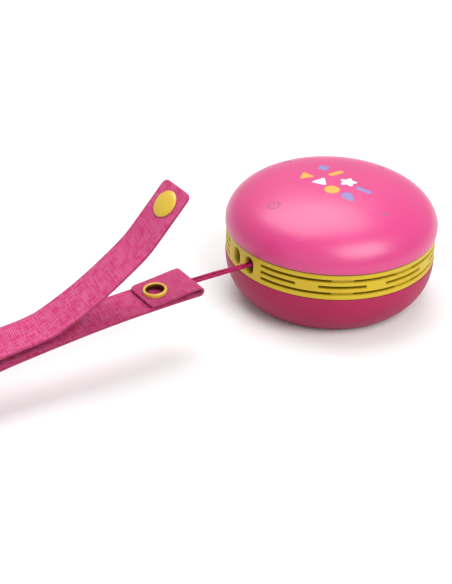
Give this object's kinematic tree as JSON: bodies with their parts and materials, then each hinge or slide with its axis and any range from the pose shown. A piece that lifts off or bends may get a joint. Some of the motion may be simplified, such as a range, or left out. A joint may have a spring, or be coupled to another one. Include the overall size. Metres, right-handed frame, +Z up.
{
  "type": "shower speaker",
  "caption": "Round portable water-resistant speaker with a slotted side grille band, touch-marked soft top, charging port and a snap-close carrying strap on a cord.",
  "frame": {"origin": "centre of the foot pad's underside, on the surface that the speaker stands on", "axes": "+Z up along the body axis; +X and +Y horizontal, the lanyard leaving at 218.6 degrees and the charging port at 32 degrees from +X"},
  "size_m": [0.2327, 0.1805, 0.0722],
  "materials": {
    "acoustic_mesh": "fine woven mesh",
    "band_yellow": "satin",
    "black_rubber": "matt",
    "board_green": "solder mask",
    "cell_wrap": "shrink wrap",
    "cone_paper": "pressed paper",
    "copper": "enamelled winding",
    "crimson_cord": "waxed cord",
    "dark_plastic": "matt",
    "ferrite": "ground ferrite",
    "lead_black": "insulation",
    "lead_red": "insulation",
    "pink_rubber": "matt",
    "plated_steel": "plated",
    "shell_pink": "fine matt",
    "snap_yellow": "gloss enamel look",
    "soft_touch_pink": "matt soft-touch coat",
    "switch_grey": "moulded",
    "woven_pink": "slubby weave"
  },
  "bodies": {
    "speaker": {"amplifier_chip": "dark_plastic", "battery_cell": "cell_wrap", "battery_lead_negative": "lead_black", "battery_lead_positive": "lead_red", "board_screw_1": "plated_steel", "board_screw_2": "plated_steel", "bottom_shell": "shell_pink", "button_board": "board_green", "button_cable": "lead_black", "case_screw_1": "plated_steel", "case_screw_2": "plated_steel", "case_screw_3": "plated_steel", "case_screw_4": "plated_steel", "driver_baffle": "dark_plastic", "driver_basket": "plated_steel", "driver_gasket": "black_rubber", "driver_magnet": "ferrite", "driver_spider": "cone_paper", "driver_surround": "black_rubber", "driver_top_plate": "plated_steel", "driver_yoke": "plated_steel", "foot_pad": "black_rubber", "grille_band": "band_yellow", "grille_mesh": "acoustic_mesh", "lanyard_pin": "plated_steel", "lower_seal": "black_rubber", "main_board": "board_green", "port_cover_anchor": "pink_rubber", "radio_module": "plated_steel", "speaker_lead": "lead_black", "switch_play": "switch_grey", "switch_power": "switch_grey", "switch_volume_down": "switch_grey", "switch_volume_up": "switch_grey", "top_cap": "dark_plastic", "top_skin": "soft_touch_pink", "upper_bulkhead": "dark_plastic", "upper_seal": "black_rubber", "usb_socket": "plated_steel"},
    "button_power_body": {"button_power": "dark_plastic"},
    "button_volume_down_body": {"button_volume_down": "dark_plastic"},
    "button_play_body": {"button_play": "dark_plastic"},
    "button_volume_up_body": {"button_volume_up": "dark_plastic"},
    "driver_moving": {"driver_cone": "cone_paper", "driver_dust_cap": "cone_paper", "driver_voice_coil": "copper"},
    "port_cover_body": {"port_cover": "pink_rubber"},
    "lanyard": {"lanyard_cord": "crimson_cord", "cord_toggle": "plated_steel"},
    "strap": {"strap_main": "woven_pink", "snap_socket": "snap_yellow", "snap_rivet": "snap_yellow"},
    "flap_1": {"strap_flap_1": "woven_pink"},
    "flap_2": {"strap_flap_2": "woven_pink"},
    "flap_3": {"strap_flap_3": "woven_pink"},
    "flap_4": {"strap_flap_4": "woven_pink"},
    "flap_5": {"strap_flap_5": "woven_pink", "snap_cap": "snap_yellow", "snap_stud": "snap_yellow"}
  },
  "joints": [
    {"name": "button_power_press", "type": "slide", "parent": "speaker", "child": "button_power_body", "axis": [0, 0, -1], "range_m": [0, 0.00035], "stiffness_N_per_m": 1000},
    {"name": "button_volume_down_press", "type": "slide", "parent": "speaker", "child": "button_volume_down_body", "axis": [0, 0, -1], "range_m": [0, 0.00035], "stiffness_N_per_m": 1000},
    {"name": "button_play_press", "type": "slide", "parent": "speaker", "child": "button_play_body", "axis": [0, 0, -1], "range_m": [0, 0.00035], "stiffness_N_per_m": 1000},
    {"name": "button_volume_up_press", "type": "slide", "parent": "speaker", "child": "button_volume_up_body", "axis": [0, 0, -1], "range_m": [0, 0.00035], "stiffness_N_per_m": 1000},
    {"name": "driver_travel", "type": "slide", "parent": "speaker", "child": "driver_moving", "axis": [0, 0, 1], "range_m": [-0.001, 0.001], "stiffness_N_per_m": 1500, "deforming": ["driver_surround", "driver_spider"]},
    {"name": "port_cover_open", "type": "hinge", "parent": "speaker", "child": "port_cover_body", "pos_m": [0.04064, 0.01732, 0.0115], "axis": [0, 0, -1], "range_deg": [0, 110], "stiffness_Nm_per_rad": 0.002},
    {"name": "lanyard_swing", "type": "hinge", "parent": "speaker", "child": "lanyard", "pos_m": [-0.0322, -0.0257, 0.0271], "axis": [0, 0, 1], "range_deg": [-10, 10]},
    {"name": "strap_lift", "type": "hinge", "parent": "lanyard", "child": "strap", "pos_m": [-0.05987, -0.04475, 0.0271], "axis": [-0.5592, 0.829, 0], "range_deg": [0, 25]},
    {"name": "strap_close", "type": "hinge", "parent": "strap", "child": "flap_1", "pos_m": [-0.1596, -0.11202, 0.01949], "axis": [0.5592, -0.829, 0], "range_deg": [0, 45.2], "stiffness_Nm_per_rad": 0.08},
    {"name": "strap_curl_2", "type": "hinge", "parent": "flap_1", "child": "flap_2", "pos_m": [-0.13888, -0.09804, 0.02363], "axis": [-0.5592, 0.829, 0], "range_deg": [0, 23.76], "stiffness_Nm_per_rad": 0.05},
    {"name": "strap_curl_3", "type": "hinge", "parent": "flap_2", "child": "flap_3", "pos_m": [-0.12147, -0.08629, 0.02598], "axis": [-0.5592, 0.829, 0], "range_deg": [0, 54.71], "stiffness_Nm_per_rad": 0.05},
    {"name": "strap_curl_4", "type": "hinge", "parent": "flap_3", "child": "flap_4", "pos_m": [-0.10489, -0.07511, 0.03222], "axis": [-0.5592, 0.829, 0], "range_deg": [0, 31.56], "stiffness_Nm_per_rad": 0.05},
    {"name": "strap_curl_5", "type": "hinge", "parent": "flap_4", "child": "flap_5", "pos_m": [-0.08665, -0.06281, 0.04522], "axis": [0.5592, -0.829, 0], "range_deg": [0, 21.8], "stiffness_Nm_per_rad": 0.05}
  ],
  "couplings": [
    {"joint": "strap_curl_2", "follows": "strap_close", "ratio": 0.5212},
    {"joint": "strap_curl_3", "follows": "strap_close", "ratio": 1.206},
    {"joint": "strap_curl_4", "follows": "strap_close", "ratio": 0.6937},
    {"joint": "strap_curl_5", "follows": "strap_close", "ratio": 0.4779}
  ]
}
